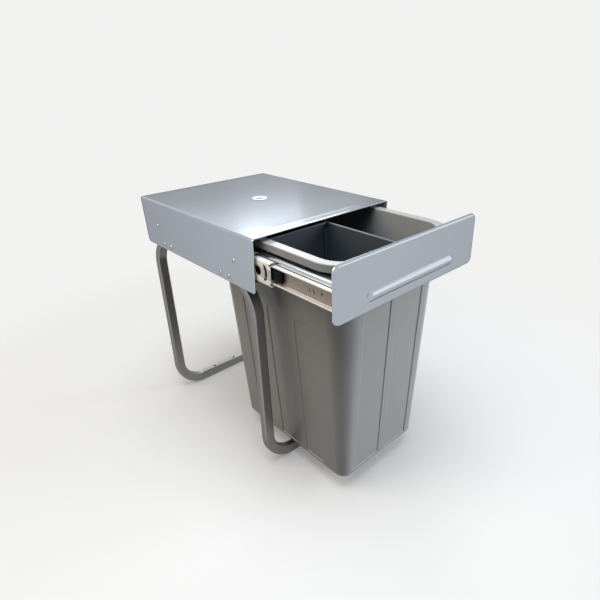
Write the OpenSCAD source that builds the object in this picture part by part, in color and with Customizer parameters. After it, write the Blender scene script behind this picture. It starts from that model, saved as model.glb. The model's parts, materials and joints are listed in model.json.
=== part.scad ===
// Pull-out waste bin unit for a cabinet floor.
// A sheet steel housing on two bent tube legs carries a drawer on ball-bearing slides,
// and the drawer's frame holds a divided bin by its rim.
// Millimetres. X runs across the unit, Y to the rear and Z up.
// The origin lies on the floor, at the centre of the floor screw holes.

/* [Housing] */
// Outside width of the housing
housing_w = 280; // [250:1:320]
// Depth of the housing, and length of the slides in it
housing_d = 350; // [320:1:400]
// Height of the housing's top face above the floor
top_z = 420; // [380:1:460]
// Height of the housing's side walls
wall_h = 84; // [78:1:92]
// Thickness of the sheet steel
sheet_t = 1.2; // [0.8:0.1:1.6]
// Outside radius of the sheet's bends
bend_r = 3; // [2:0.5:5]
// Radius of the side walls' lower corners
corner_r = 6; // [2:0.5:8]
// How much a side wall's front and rear edges lean in towards its lower edge
wall_taper = 5; // [0:0.5:10]
// Length of the embossed beads in the top face, between their end centres
bead_len = 168; // [80:1:200]
// Width of the embossed beads
bead_w = 12; // [8:1:16]
// Height of the embossed beads above the top face
bead_rise = 2; // [1.5:0.25:3]
// Distance from the bead's middle to the housing's edge
bead_inset = 23; // [14:1:40]
// Diameter of the blank badge on the top face
badge_d = 27; // [20:1:40]
// Thickness of the blank badge
badge_t = 1; // [0.6:0.1:2]

/* [Legs] */
// Width of the flat tube, which is also the height of the foot bar
tube_w = 18; // [15:0.5:20]
// Thickness of the flat tube
tube_d = 12.5; // [10:0.5:14]
// Wall of the tube
tube_wall = 1.2; // [1:0.1:2]
// Outside corner radius of the tube
tube_r = 2.5; // [2.25:0.25:4]
// Middle radius of the bend at the floor
foot_bend_r = 52; // [30:1:60]
// Middle radius of the bend below the housing
top_bend_r = 54; // [30:1:60]
// Distance from a leg's middle to the housing's edge
leg_inset = 20; // [12:1:30]
// Distance from a leg's middle to the middle of its two rivets
leg_rivet_inset = 63; // [50:1:75]
// Length of the tube beyond its last rivet
return_over = 14; // [8:1:25]
// Height of the leg rivets above the side wall's lower edge
leg_rivet_rise = 9; // [7:0.5:12]
// Distance between a leg end's two rivets
leg_rivet_pitch = 23; // [15:1:30]
// Diameter of the floor screw holes
floor_hole_d = 5; // [4:0.5:6]
// Distance between neighbouring floor screw holes
floor_hole_pitch = 50; // [30:1:70]

/* [Fasteners] */
// Shank diameter of the rivets and lever pins
rivet_d = 4; // [3:0.5:5]
// Head diameter of the rivets
rivet_head_d = 8; // [6:0.5:9]
// Head height of the rivets
rivet_head_h = 1.8; // [1.2:0.1:2.5]
// Radial clearance of shanks in their holes
pin_gap = 0.05; // [0.02:0.01:0.1]
// Thread diameter of the panel's studs
stud_d = 4; // [3:0.5:5]
// Nut height
nut_h = 3.2; // [2.4:0.2:5]
// Nut width across its corners
nut_d = 8.1; // [7:0.1:9]
// Length of the studs beyond their nuts
stud_over = 1; // [0.5:0.25:3]
// Distance from the inner member's front end to its first carrier rivet
carrier_rivet_front = 8; // [6:1:20]
// Distance from the lever's pin to the next carrier rivet
carrier_rivet_mid = 50; // [20:1:90]
// Distance from the rear end of the carrier, or of a shorter slide, to the last carrier rivet
carrier_rivet_rear = 21; // [12:1:40]

/* [Slides] */
// Height of the slides' outer members
slide_h = 45; // [42:0.5:48]
// Thickness of a closed slide
slide_t = 12.7; // [12.5:0.1:14]
// Thickness of the slide members' steel
rail_t = 1.2; // [1:0.1:1.4]
// How far the outer and middle members' lips stay behind the inner member's face
lip_setback = 1.7; // [1.5:0.1:2.2]
// Diameter of the balls
ball_d = 3.2; // [2.8:0.1:3.4]
// Clearance of a ball in its race, each side
ball_gap = 0.08; // [0.05:0.01:0.12]
// Clearance between the nested webs
web_gap = 0.3; // [0.25:0.05:0.4]
// Thickness of the ball cages
cage_t = 0.6; // [0.5:0.1:0.8]
// Length of the ball cages
cage_len = 150; // [120:1:155]
// Distance between balls in a row
ball_pitch = 23; // [15:1:25]
// Balls in a row
balls_per_row = 6; // [2:1:6]
// Gap between the leg tube and the slide above it
slide_rise = 1.25; // [0.5:0.25:4]
// Distance from the housing's edge to the rail rivets
rail_rivet_inset = 53; // [30:1:80]
// Thickness of the rear bumpers
bumper_t = 3; // [2:0.5:6]
// Play between the closed slide and its bumpers
bumper_gap = 0.5; // [0.3:0.1:1]
// Distance from the middle member's front end to its round hole
middle_hole_at = 32; // [22:1:40]
// Diameter of the middle member's round hole
middle_hole_d = 13; // [6:0.5:16]
// Distance from the middle member's front end to its curved slot
middle_slot_at = 8; // [6:0.5:12]
// Width of the curved slot
middle_slot_w = 5; // [2:0.25:7]
// Middle radius of the curved slot
middle_slot_r = 20; // [14:1:30]
// Height of the curved slot
middle_slot_h = 24; // [12:1:28]

/* [Drawer] */
// How far the drawer is pulled out here, 0 is closed
pull_out = 155; // [110:1:200]
// How far the middle members are pulled out here
middle_out = 30; // [0:1:60]
// Gap between the closed panel and the housing
panel_gap = 5; // [1:0.5:8]
// Thickness of the carrier frame's sheet
carrier_t = 1.5; // [1:0.1:2]
// Height of the carrier's flange above the slides' middle
carrier_rise = 22; // [16:0.5:24]
// Height of the carrier's turned-down walls
carrier_wall_h = 34; // [26:1:40]
// Width of the carrier's rear cross bar behind the rim
carrier_rear = 11; // [6:1:20]
// Gap between the carrier's opening and the bin's wall
carrier_gap = 2.9; // [1.5:0.1:4]
// Distance from the inner member's front end to its lanced slot
inner_slot_at = 57; // [45:1:75]
// Length of the lanced slot
inner_slot_len = 12; // [6:1:16]
// Height of the lanced slot
inner_slot_h = 5; // [3:0.5:8]
// Distance from the inner member's front end to its round hole
inner_hole_at = 35; // [25:1:40]
// Diameter of the inner member's round hole
inner_hole_d = 6; // [4:0.5:8]

/* [Release levers] */
// Distance from the inner member's front end to the lever's pin
lever_pin_at = 143; // [120:1:160]
// Distance from the pin to the lever's front end
lever_reach = 37; // [30:1:45]
// Length of the lever's thumb block
lever_block_len = 22; // [14:1:26]
// Height of the lever's thumb block
lever_block_h = 16; // [10:0.5:17]
// Height of the lever's arm
lever_arm_h = 8; // [7:0.5:9]
// Thickness of the lever
lever_t = 4.5; // [3.5:0.1:4.6]

/* [Front panel] */
// Width of the front panel
panel_w = 294; // [270:1:340]
// Height of the front panel
panel_h = 79; // [70:1:100]
// Height of the panel's top above the housing
panel_rise = 9.5; // [0:0.5:20]
// Depth of the panel's rolled edge
panel_depth = 5; // [5:0.5:12]
// Radius of the panel's corners
panel_corner_r = 10; // [6:0.5:20]
// Outside radius of the panel's rolled edge
panel_roll_r = 4; // [2.5:0.25:5]
// Length of the grip bead between its end centres
grip_len = 168; // [80:1:200]
// Width of the grip bead
grip_w = 12; // [9:0.5:16]
// How far the grip bead stands out
grip_rise = 4.5; // [3:0.25:6]
// Height of the grip bead's middle above the panel's lower edge
grip_at = 22; // [14:1:36]
// Distance between the outer panel studs
stud_span = 210; // [160:1:220]
// Distance between the inner panel studs
stud_inner_span = 90; // [60:1:120]

/* [Bin] */
// Length of the bin's rim from front to rear
bin_d = 330; // [300:1:350]
// Gap between the panel's sheet and the rim
bin_front_gap = 9.8; // [8:0.1:14]
// Gap between the rim and the carrier's side wall
rim_inset = 2.6; // [0.5:0.1:5]
// Gap between the rim and the housing's top face
rim_drop = 7.5; // [4:0.25:10]
// Gap between the lip and the carrier's flange
lip_gap = 4.5; // [1:0.25:6]
// Width of the rim outside the bin's wall
rim_over = 12.5; // [8:0.25:14]
// Thickness of the rim's plate
rim_t = 3; // [2:0.25:4]
// Wall of the bin
bin_wall = 2.5; // [1.5:0.1:3.5]
// Thickness of the bin's bottom
bin_floor = 3; // [2:0.25:5]
// How much the bin's wall leans out for each millimetre of height
draft = 0.058; // [0.03:0.002:0.07]
// Corner radius of the rim
rim_r = 52; // [45:1:60]
// Gap between the foot bar and the bin's bottom
bin_clear = 14; // [6:1:30]
// Height from the rim down to the tops of the side flutes
side_flute_drop = 113; // [80:1:140]
// Height from the rim down to the tops of the front and rear flutes
end_flute_drop = 64; // [50:1:140]
// Radius of the flutes' upper corners
flute_r = 12; // [4:1:14]
// How deep the flutes are sunk into the wall
flute_depth = 1.2; // [0.6:0.1:1.6]
// Height of the flutes' lower ends above the bin's bottom
flute_foot = 8; // [5:1:30]
// Width of the side flutes
side_flute_w = 40; // [30:1:50]
// Distance between side flutes
side_flute_pitch = 65; // [54:1:70]
// Width of the front and rear flutes
end_flute_w = 55; // [40:1:62]
// Distance between front and rear flutes
end_flute_pitch = 71; // [64:1:76]
// Thickness of the ribs under the rim and of the dividers' guides
rib_t = 3; // [2:0.25:4]
// Distance between neighbouring ribs along the sides
side_rib_pitch = 90; // [60:1:100]
// Distance between the two ribs at the front and at the rear
end_rib_pitch = 90; // [60:1:110]
// Thickness of the dividers
divider_t = 4; // [2:0.5:6]
// Distance of the long divider from the bin's middle, to the right
divider_x = 5; // [-40:1:40]
// Distance of the cross divider from the bin's middle, to the front
cross_at = 3; // [-60:1:60]
// Height from the rim down to the dividers' tops
divider_drop = 1; // [0.5:0.5:20]
// How far the dividers' guides stand out
guide_d = 6; // [3:0.5:9]
// Height from the rim down to the guides' tops
guide_drop = 12; // [6:1:40]
// Gap between a divider and what it stands between
divider_gap = 0.3; // [0.2:0.1:0.8]

/* [Hidden] */
$fn = 64;
sides = [-1, 1];
overlap = 1;

paint_grey = [0.62, 0.65, 0.69];
tube_grey = [0.50, 0.52, 0.53];
zinc = [0.78, 0.77, 0.74];
ball_steel = [0.85, 0.86, 0.88];
bin_grey = [0.47, 0.46, 0.44];
divider_slate = [0.23, 0.26, 0.29];
black_plastic = [0.07, 0.07, 0.08];
cage_grey = [0.55, 0.55, 0.52];
badge_blue = [0.72, 0.78, 0.86];

// Housing and legs
wall_x = housing_w / 2 - sheet_t;
wall_z = top_z - wall_h;
rail_front = -housing_d / 2;
rail_rear = housing_d / 2;
bead_r = (bead_w * bead_w / 4 + bead_rise * bead_rise) / (2 * bead_rise);
bead_y = housing_d / 2 - bead_inset;
leg_x = wall_x - tube_w / 2;
leg_y = housing_d / 2 - leg_inset;
foot_z = tube_w / 2;
return_z = wall_z + leg_rivet_rise;
return_y = leg_y - top_bend_r;
edge_h = wall_h - bend_r;
edge_lean = atan(wall_taper / edge_h);
leg_rivet_y = leg_y - leg_rivet_inset;
return_len = return_y - leg_rivet_y + leg_rivet_pitch / 2 + return_over;
rail_rivet_y = housing_d / 2 - rail_rivet_inset;

// Slide section: u runs from the housing's wall inwards, z from the slide's middle
slide_z = return_z + tube_d / 2 + slide_rise + slide_h / 2;
race = ball_d + 2 * ball_gap;
outer_half = slide_h / 2;
middle_half = outer_half - rail_t - race;
inner_half = middle_half - rail_t - race;
outer_ball_z = middle_half + race / 2;
inner_ball_z = inner_half + race / 2;
outer_cage_u = rail_t + web_gap;
middle_u = outer_cage_u + cage_t + web_gap;
inner_cage_u = middle_u + rail_t + web_gap;
inner_u = inner_cage_u + cage_t + web_gap;
inner_web_u = slide_t - rail_t;
lip_h = rail_t;
flange_end_u = slide_t - lip_setback;
outer_ball_u = (outer_cage_u + cage_t + flange_end_u - rail_t) / 2;
inner_ball_u = (inner_cage_u + cage_t + flange_end_u - rail_t) / 2;
cage_flange_t = race / 3;
cage_end_u = flange_end_u - rail_t - web_gap;
ball_hole_d = ball_d + 2 * ball_gap;
moving_len = housing_d - bumper_t - bumper_gap;
middle_front = rail_front - middle_out;
inner_front = rail_front - pull_out;
outer_cage_y = -middle_out / 2;
inner_cage_y = -middle_out - (pull_out - middle_out) / 2;
lever_pin_y = inner_front + lever_pin_at;
lever_u = inner_u + rivet_head_h / 2 + web_gap;
flat_head_d = 1.5 * rivet_d;
slot_round = 0.45;

// Drawer
panel_y = rail_front - pull_out - panel_gap - panel_depth;
panel_top = top_z + panel_rise;
panel_z = panel_top - panel_h / 2;
grip_r = (grip_w * grip_w / 4 + grip_rise * grip_rise) / (2 * grip_rise);
grip_z = panel_top - panel_h + grip_at;
carrier_x = wall_x - slide_t;
carrier_z = slide_z + carrier_rise;
carrier_front = panel_y + sheet_t;
stud_z = carrier_z - carrier_wall_h / 2;
stud_x = [-stud_span / 2, -stud_inner_span / 2, stud_inner_span / 2, stud_span / 2];

// Bin
rim_z = top_z - rim_drop;
rim_x = carrier_x - rim_inset;
rim_front = carrier_front + bin_front_gap;
bin_y = rim_front + bin_d / 2;
corner_x = rim_x - rim_r;
corner_y = bin_d / 2 - rim_r;
bin_z = tube_w + bin_clear;
divider_z0 = bin_z + bin_floor;
divider_z1 = rim_z - divider_drop;
guide_z1 = rim_z - guide_drop;
guide_off = divider_t / 2 + divider_gap + rib_t / 2;
cross_y = bin_y - cross_at;
lip_z = carrier_z + lip_gap;
carrier_rear_y = rim_front + bin_d + carrier_rear;
carrier_rivet_y = [inner_front + carrier_rivet_front, lever_pin_y + carrier_rivet_mid,
                   min(carrier_rear_y, inner_front + moving_len) - carrier_rivet_rear];
side_flute_h = rim_z - side_flute_drop - bin_z - flute_foot;
end_flute_h = rim_z - end_flute_drop - bin_z - flute_foot;
draft_angle = atan(draft);

// Radius of the bin's outer corner at a height
function wall_r(z) = rim_r - rim_over - (rim_z - z) * draft;

// Shared shapes

module rounded_rect(w, h, r) {
  square([w - 2 * r, h], center = true);
  square([w, h - 2 * r], center = true);
  for (x = sides, y = sides)
    translate([x * (w / 2 - r), y * (h / 2 - r)]) circle(r);
}

// Inverted U outline with rounded top corners, standing on y = 0
module arch_outline(w, h, r) {
  translate([-w / 2, 0]) square([w, h - r]);
  translate([r - w / 2, 0]) square([w - 2 * r, h]);
  for (x = sides)
    translate([x * (w / 2 - r), h - r]) circle(r);
}

// Round bar along X with ball ends
module round_bar(len, r) {
  rotate([0, 90, 0]) cylinder(h = len, r = r, center = true);
  for (x = sides)
    translate([x * len / 2, 0, 0]) sphere(r);
}

// Cylinder along X from x to x + len
module peg(x, len, d) {
  translate([x, 0, 0]) rotate([0, 90, 0]) cylinder(h = len, d = d);
}

// Low domed head with its flat side at x = 0, pointing to +X
module dome(d, h) {
  dome_r = (d * d / 4 + h * h) / (2 * h);
  rotate([0, 90, 0]) rotate_extrude()
    intersection() {
      translate([0, h - dome_r]) circle(dome_r);
      square([d, h + overlap]);
    }
}

// The right side is modelled, and the left side is its mirror image
module on_side(side) {
  mirror([side < 0 ? 1 : 0, 0, 0]) children();
}

// Frame of one slide: x is u, from the housing's wall inwards
module at_slide(side) {
  on_side(side) translate([wall_x, 0, slide_z]) mirror([1, 0, 0]) children();
}

// Extrudes an outline of (u, z) along Y, from front to front + len
module along_y(front, len) {
  translate([0, front + len, 0]) rotate([90, 0, 0]) linear_extrude(len) children();
}

// Housing

module housing_outline() {
  difference() {
    arch_outline(housing_w, wall_h, bend_r);
    translate([0, -overlap])
      arch_outline(2 * wall_x, wall_h - sheet_t + overlap, bend_r - sheet_t);
  }
}

// What is cut off a side wall's end: its edge leans in and meets the lower edge in an arc
module wall_end_cut() {
  arc_y = wall_taper * (1 - corner_r / edge_h) + corner_r / cos(edge_lean);
  arc_end = [arc_y - corner_r * cos(edge_lean), corner_r - corner_r * sin(edge_lean)];
  rotate([90, 0, 90]) translate([0, 0, -housing_w]) linear_extrude(2 * housing_w)
    difference() {
      polygon([[-overlap, -overlap], [arc_y, -overlap], [arc_y, corner_r], arc_end,
               [0, edge_h], [-overlap, edge_h]]);
      translate([arc_y, corner_r]) circle(corner_r);
    }
}

module top_beads(r) {
  for (y = sides)
    translate([0, y * bead_y, top_z + bead_rise - bead_r]) round_bar(bead_len, r);
}

module top_slab(z, h) {
  translate([-housing_w / 2, -housing_d / 2, z]) cube([housing_w, housing_d, h]);
}

module housing_shell() {
  color(paint_grey)
    difference() {
      union() {
        translate([0, 0, wall_z]) along_y(rail_front, housing_d) housing_outline();
        intersection() {
          top_beads(bead_r);
          top_slab(top_z - sheet_t / 2, bead_rise + overlap);
        }
      }
      intersection() {
        top_beads(bead_r - sheet_t);
        top_slab(top_z - sheet_t - overlap, bead_rise + overlap);
      }
      for (y = [0, 1])
        mirror([0, y, 0]) translate([0, rail_front, wall_z]) wall_end_cut();
      for (side = sides)
        on_side(side) {
          leg_rivet_places() peg(-2 * sheet_t, 4 * sheet_t, rivet_d + 2 * pin_gap);
          rail_rivet_places() peg(-2 * sheet_t, 4 * sheet_t, rivet_d + 2 * pin_gap);
        }
    }
}

module top_badge() {
  rim = badge_t / 2;
  color(badge_blue)
    translate([0, 0, top_z]) {
      cylinder(h = badge_t - rim / 2, d = badge_d);
      translate([0, 0, badge_t - rim / 2]) cylinder(h = rim / 2, d1 = badge_d, d2 = badge_d - rim);
    }
}

// Legs

module tube_outline(grow) {
  rounded_rect(tube_w + 2 * grow, tube_d + 2 * grow, tube_r + grow);
}

module leg_half(grow) {
  run_z = foot_z + foot_bend_r;
  bar_len = leg_x - foot_bend_r;
  translate([0, -leg_y, foot_z]) rotate([0, 90, 0]) linear_extrude(bar_len) tube_outline(grow);
  translate([bar_len, -leg_y, run_z]) rotate([90, 0, 0]) rotate([0, 0, -90])
    rotate_extrude(angle = 90) translate([foot_bend_r, 0]) tube_outline(grow);
  translate([leg_x, -leg_y, run_z]) linear_extrude(return_z - top_bend_r - run_z) tube_outline(grow);
  translate([leg_x, -return_y, return_z - top_bend_r]) rotate([90, 0, 90]) rotate([0, 0, 90])
    rotate_extrude(angle = 90) translate([top_bend_r, 0]) rotate(90) tube_outline(grow);
  translate([leg_x, -return_y, return_z]) rotate([-90, 0, 0])
    linear_extrude(return_len - grow) tube_outline(grow);
}

module leg() {
  color(tube_grey)
    difference() {
      for (side = sides)
        on_side(side) leg_half(0);
      for (side = sides)
        on_side(side) leg_half(-tube_wall);
      for (x = [-1, 0, 1])
        translate([x * floor_hole_pitch, -leg_y, -overlap])
          cylinder(h = tube_w + 2 * overlap, d = floor_hole_d);
      for (side = sides)
        on_side(side) leg_rivet_places() peg(-sheet_t - tube_wall - overlap, 2 * tube_wall + overlap,
                                             rivet_d + 2 * pin_gap);
    }
}

module front_leg() {
  leg();
}

module rear_leg() {
  mirror([0, 1, 0]) leg();
}

// Rivets, placed with x = 0 on the side wall's outer face and +X pointing out

module leg_rivet_places() {
  for (end = sides, step = sides)
    translate([housing_w / 2, end * leg_rivet_y + step * leg_rivet_pitch / 2, return_z]) children();
}

module rail_rivet_places() {
  for (y = sides)
    translate([housing_w / 2, y * rail_rivet_y, slide_z]) children();
}

module rivet(grip) {
  dome(rivet_head_d, rivet_head_h);
  peg(-grip, grip + rivet_head_h / 4, rivet_d);
}

module leg_rivets(side) {
  tail_h = rivet_head_h / 2;
  color(paint_grey)
    on_side(side) leg_rivet_places() {
      rivet(sheet_t + tube_wall + tail_h);
      peg(-sheet_t - tube_wall - tail_h, tail_h, flat_head_d);
    }
}

module rail_rivets(side) {
  color(paint_grey)
    on_side(side) rail_rivet_places() rivet(sheet_t + rail_t);
}

// Slides

// Channel with its web from u to u + rail_t, flanges to end_u and short lips turned inwards
module channel(u, end_u, half) {
  r = 1.5 * rail_t;
  difference() {
    union() {
      translate([u + r, -half]) square([end_u - u - r, 2 * half]);
      translate([u, r - half]) square([r, 2 * half - 2 * r]);
      for (z = sides)
        translate([u + r, z * (half - r)]) circle(r);
    }
    translate([u + rail_t, rail_t - half]) square([end_u - u - 2 * rail_t, 2 * half - 2 * rail_t]);
    translate([u + rail_t, rail_t + lip_h - half])
      square([end_u - u, 2 * half - 2 * rail_t - 2 * lip_h]);
  }
}

module slide_outer(side) {
  color(zinc)
    difference() {
      at_slide(side) along_y(rail_front, housing_d) channel(0, flange_end_u, outer_half);
      on_side(side) rail_rivet_places()
        peg(-sheet_t - 2 * rail_t, 3 * rail_t, rivet_d + 2 * pin_gap);
    }
}

module rail_bumper(side) {
  color(black_plastic)
    at_slide(side) along_y(rail_rear - bumper_t, bumper_t)
      translate([rail_t, rail_t - outer_half])
        square([flange_end_u - 2 * rail_t, 2 * outer_half - 2 * rail_t]);
}

module curved_slot() {
  rotate([0, 90, 0])
    intersection() {
      difference() {
        cylinder(h = 4 * rail_t, r = middle_slot_r + middle_slot_w / 2, center = true);
        cylinder(h = 5 * rail_t, r = middle_slot_r - middle_slot_w / 2, center = true);
      }
      translate([-middle_slot_h / 2, -2 * middle_slot_r, -3 * rail_t])
        cube([middle_slot_h, 2 * middle_slot_r, 6 * rail_t]);
    }
}

module slide_middle(side) {
  color(zinc)
    at_slide(side)
      difference() {
        along_y(middle_front, moving_len) channel(middle_u, flange_end_u, middle_half);
        translate([0, middle_front + middle_hole_at, 0])
          peg(middle_u - overlap, rail_t + 2 * overlap, middle_hole_d);
        translate([middle_u + rail_t / 2, middle_front + middle_slot_at + middle_slot_r, 0]) curved_slot();
      }
}

// Inner member: its web lies on the carrier and its flanges point to the housing's wall
module inner_channel() {
  difference() {
    translate([inner_u, -inner_half]) square([slide_t - inner_u, 2 * inner_half]);
    translate([inner_u - overlap, rail_t - inner_half])
      square([inner_web_u - inner_u + overlap, 2 * inner_half - 2 * rail_t]);
  }
}

module web_slot(len, h) {
  translate([inner_web_u - overlap, 0, 0]) rotate([90, 0, 90]) linear_extrude(rail_t + 2 * overlap)
    rounded_rect(len, h, slot_round * h);
}

module slide_inner(side) {
  color(zinc)
    at_slide(side)
      difference() {
        along_y(inner_front, moving_len) inner_channel();
        translate([0, inner_front + inner_slot_at, 0]) web_slot(inner_slot_len, inner_slot_h);
        translate([0, inner_front + inner_hole_at, 0])
          peg(inner_web_u - overlap, rail_t + 2 * overlap, inner_hole_d);
        carrier_rivet_places()
          peg(inner_web_u - overlap, rail_t + 2 * overlap, rivet_d + 2 * pin_gap);
        translate([0, lever_pin_y, 0])
          peg(inner_web_u - overlap, rail_t + 2 * overlap, rivet_d + 2 * pin_gap);
      }
}

// Balls and cages

module ball_places(u, y, z) {
  for (row = sides, n = [0 : balls_per_row - 1])
    translate([u, y + (n - (balls_per_row - 1) / 2) * ball_pitch, row * z]) children();
}

module balls(side, u, y, z) {
  color(ball_steel)
    at_slide(side) ball_places(u, y, z) sphere(d = ball_d);
}

module ball_cage(side, web_u, u, y, z) {
  edge = z + cage_flange_t / 2;
  color(cage_grey)
    at_slide(side)
      difference() {
        along_y(y - cage_len / 2, cage_len)
          difference() {
            translate([web_u, -edge]) square([cage_end_u - web_u, 2 * edge]);
            translate([web_u + cage_t, cage_flange_t - edge])
              square([cage_end_u - web_u, 2 * edge - 2 * cage_flange_t]);
          }
        ball_places(u, y, z) cylinder(h = 2 * cage_flange_t, d = ball_hole_d, center = true);
      }
}

module balls_outer(side) {
  balls(side, outer_ball_u, outer_cage_y, outer_ball_z);
}

module balls_inner(side) {
  balls(side, inner_ball_u, inner_cage_y, inner_ball_z);
}

module ball_cage_outer(side) {
  ball_cage(side, outer_cage_u, outer_ball_u, outer_cage_y, outer_ball_z);
}

module ball_cage_inner(side) {
  ball_cage(side, inner_cage_u, inner_ball_u, inner_cage_y, inner_ball_z);
}

// Release levers

module lever_pin(side) {
  head_h = rivet_head_h / 2;
  color(zinc)
    at_slide(side) translate([0, lever_pin_y, 0]) {
      peg(lever_u - pin_gap - head_h, head_h, flat_head_d);
      peg(lever_u - pin_gap - head_h / 2, slide_t - lever_u + pin_gap + head_h / 2, rivet_d);
    }
}

module lever_outline() {
  heel_r = lever_arm_h / 2;
  block_r = lever_block_h / 2;
  block_end = lever_block_len - lever_reach;
  block_mid = lever_block_len / 2 - lever_reach;
  difference() {
    union() {
      circle(heel_r);
      polygon([[-lever_reach, -block_r], [block_mid, -block_r], [block_end, -heel_r], [0, -heel_r],
               [0, heel_r], [block_end, heel_r], [block_mid, block_r], [-lever_reach, block_r]]);
    }
    circle(d = rivet_d + 2 * pin_gap);
  }
}

module release_lever(side) {
  color(black_plastic)
    at_slide(side) translate([lever_u, lever_pin_y, 0])
      rotate([90, 0, 90]) linear_extrude(lever_t) lever_outline();
}

// Drawer

module carrier_rivet_places() {
  for (y = carrier_rivet_y)
    translate([0, y, 0]) children();
}

module carrier_rivets(side) {
  head_h = rivet_head_h / 2;
  color(zinc)
    at_slide(side) carrier_rivet_places() {
      peg(inner_web_u - head_h, head_h, flat_head_d);
      peg(inner_web_u - head_h / 2, rail_t + carrier_t + head_h / 2, rivet_d);
    }
}

module carrier_frame() {
  hole_x = corner_x + wall_r(carrier_z) + carrier_gap;
  hole_y = corner_y + wall_r(carrier_z) + carrier_gap;
  hole_r = wall_r(carrier_z) + carrier_gap;
  depth = carrier_rear_y - carrier_front;
  color(paint_grey)
    difference() {
      translate([-carrier_x, carrier_front, carrier_z - carrier_wall_h])
        cube([2 * carrier_x, depth, carrier_wall_h]);
      translate([carrier_t - carrier_x, carrier_front + carrier_t, carrier_z - carrier_wall_h - carrier_t])
        cube([2 * carrier_x - 2 * carrier_t, depth - 2 * carrier_t, carrier_wall_h]);
      translate([0, bin_y, carrier_z - carrier_t - overlap]) linear_extrude(carrier_t + 2 * overlap)
        rounded_rect(2 * hole_x, 2 * hole_y, hole_r);
      for (side = sides)
        at_slide(side) carrier_rivet_places()
          peg(slide_t - overlap, carrier_t + 2 * overlap, rivet_d + 2 * pin_gap);
      for (x = stud_x)
        translate([x, carrier_front - overlap, stud_z]) rotate([-90, 0, 0])
          cylinder(h = carrier_t + 2 * overlap, d = stud_d + 2 * pin_gap);
    }
}

// Rolled edge outline: x points out of the panel, y from its face to the rear
module rolled_edge() {
  intersection() {
    translate([0, panel_roll_r])
      difference() {
        circle(panel_roll_r);
        circle(panel_roll_r - sheet_t);
      }
    square(panel_roll_r);
  }
  translate([panel_roll_r - sheet_t, panel_roll_r]) square([sheet_t, panel_depth - panel_roll_r]);
}

module panel_quarter() {
  arm_x = panel_w / 2 - panel_corner_r;
  arm_z = panel_h / 2 - panel_corner_r;
  translate([panel_w / 2 - panel_roll_r, 0, 0]) linear_extrude(arm_z) rolled_edge();
  translate([arm_x, 0, panel_h / 2 - panel_roll_r]) rotate([0, -90, 0])
    linear_extrude(arm_x) rolled_edge();
  translate([arm_x, 0, arm_z]) rotate([-90, 0, 0]) rotate([0, 0, -90]) rotate_extrude(angle = 90)
    translate([panel_corner_r - panel_roll_r, 0]) rolled_edge();
}

module grip_bar(r) {
  translate([0, grip_r - grip_rise, grip_z - panel_z]) round_bar(grip_len, r);
}

module panel_slab(y, depth) {
  translate([-panel_w / 2, y, -panel_h / 2]) cube([panel_w, depth, panel_h]);
}

module front_panel() {
  flat_r = panel_corner_r - panel_roll_r;
  color(paint_grey)
    translate([0, panel_y, panel_z]) {
      for (x = [0, 1], z = [0, 1])
        mirror([x, 0, 0]) mirror([0, 0, z]) panel_quarter();
      difference() {
        union() {
          rotate([-90, 0, 0]) linear_extrude(sheet_t)
            rounded_rect(panel_w - 2 * panel_roll_r, panel_h - 2 * panel_roll_r, flat_r);
          intersection() {
            grip_bar(grip_r);
            panel_slab(-grip_rise - overlap, grip_rise + overlap + sheet_t / 2);
          }
        }
        intersection() {
          grip_bar(grip_r - sheet_t);
          panel_slab(-grip_rise - overlap, grip_rise + sheet_t + 2 * overlap);
        }
      }
      for (x = stud_x)
        translate([x, sheet_t / 2, stud_z - panel_z]) rotate([-90, 0, 0])
          cylinder(h = sheet_t / 2 + carrier_t + nut_h + stud_over, d = stud_d);
    }
}

module panel_nuts() {
  color(zinc)
    for (x = stud_x)
      translate([x, carrier_front + carrier_t, stud_z]) rotate([-90, 0, 0])
        difference() {
          cylinder(h = nut_h, d = nut_d, $fn = 6);
          translate([0, 0, -overlap]) cylinder(h = nut_h + 2 * overlap, d = stud_d + 2 * pin_gap);
        }
}

// Bin

// Drafted body with round corners, set in by off, from z0 to z1
module bin_form(off, z0, z1) {
  r0 = wall_r(z0) - off;
  r1 = wall_r(z1) - off;
  for (x = sides, y = sides)
    translate([x * corner_x, bin_y + y * corner_y, z0]) cylinder(h = z1 - z0, r1 = r0, r2 = r1);
  translate([-corner_x, bin_y, 0]) rotate([90, 0, 90]) linear_extrude(2 * corner_x)
    polygon([[-corner_y - r0, z0], [corner_y + r0, z0], [corner_y + r1, z1], [-corner_y - r1, z1]]);
  translate([0, bin_y + corner_y, 0]) rotate([90, 0, 0]) linear_extrude(2 * corner_y)
    polygon([[-corner_x - r0, z0], [corner_x + r0, z0], [corner_x + r1, z1], [-corner_x - r1, z1]]);
}

module rim_ring(inset, z0, z1) {
  translate([0, bin_y, z0]) linear_extrude(z1 - z0)
    rounded_rect(2 * rim_x - 2 * inset, bin_d - 2 * inset, rim_r - inset);
}

// Flutes to sink into one wall, which faces the given direction from the bin's middle
module flutes(turn, half, w, h, pitch, first, last) {
  translate([0, bin_y, bin_z + flute_foot]) rotate([0, 0, turn])
    for (n = [first : last])
      translate([half + wall_r(bin_z + flute_foot), n * pitch, 0]) rotate([0, draft_angle, 0])
        translate([-flute_depth, 0, 0]) rotate([90, 0, 90])
          linear_extrude(flute_depth + overlap) arch_outline(w, h, flute_r);
}

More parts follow.
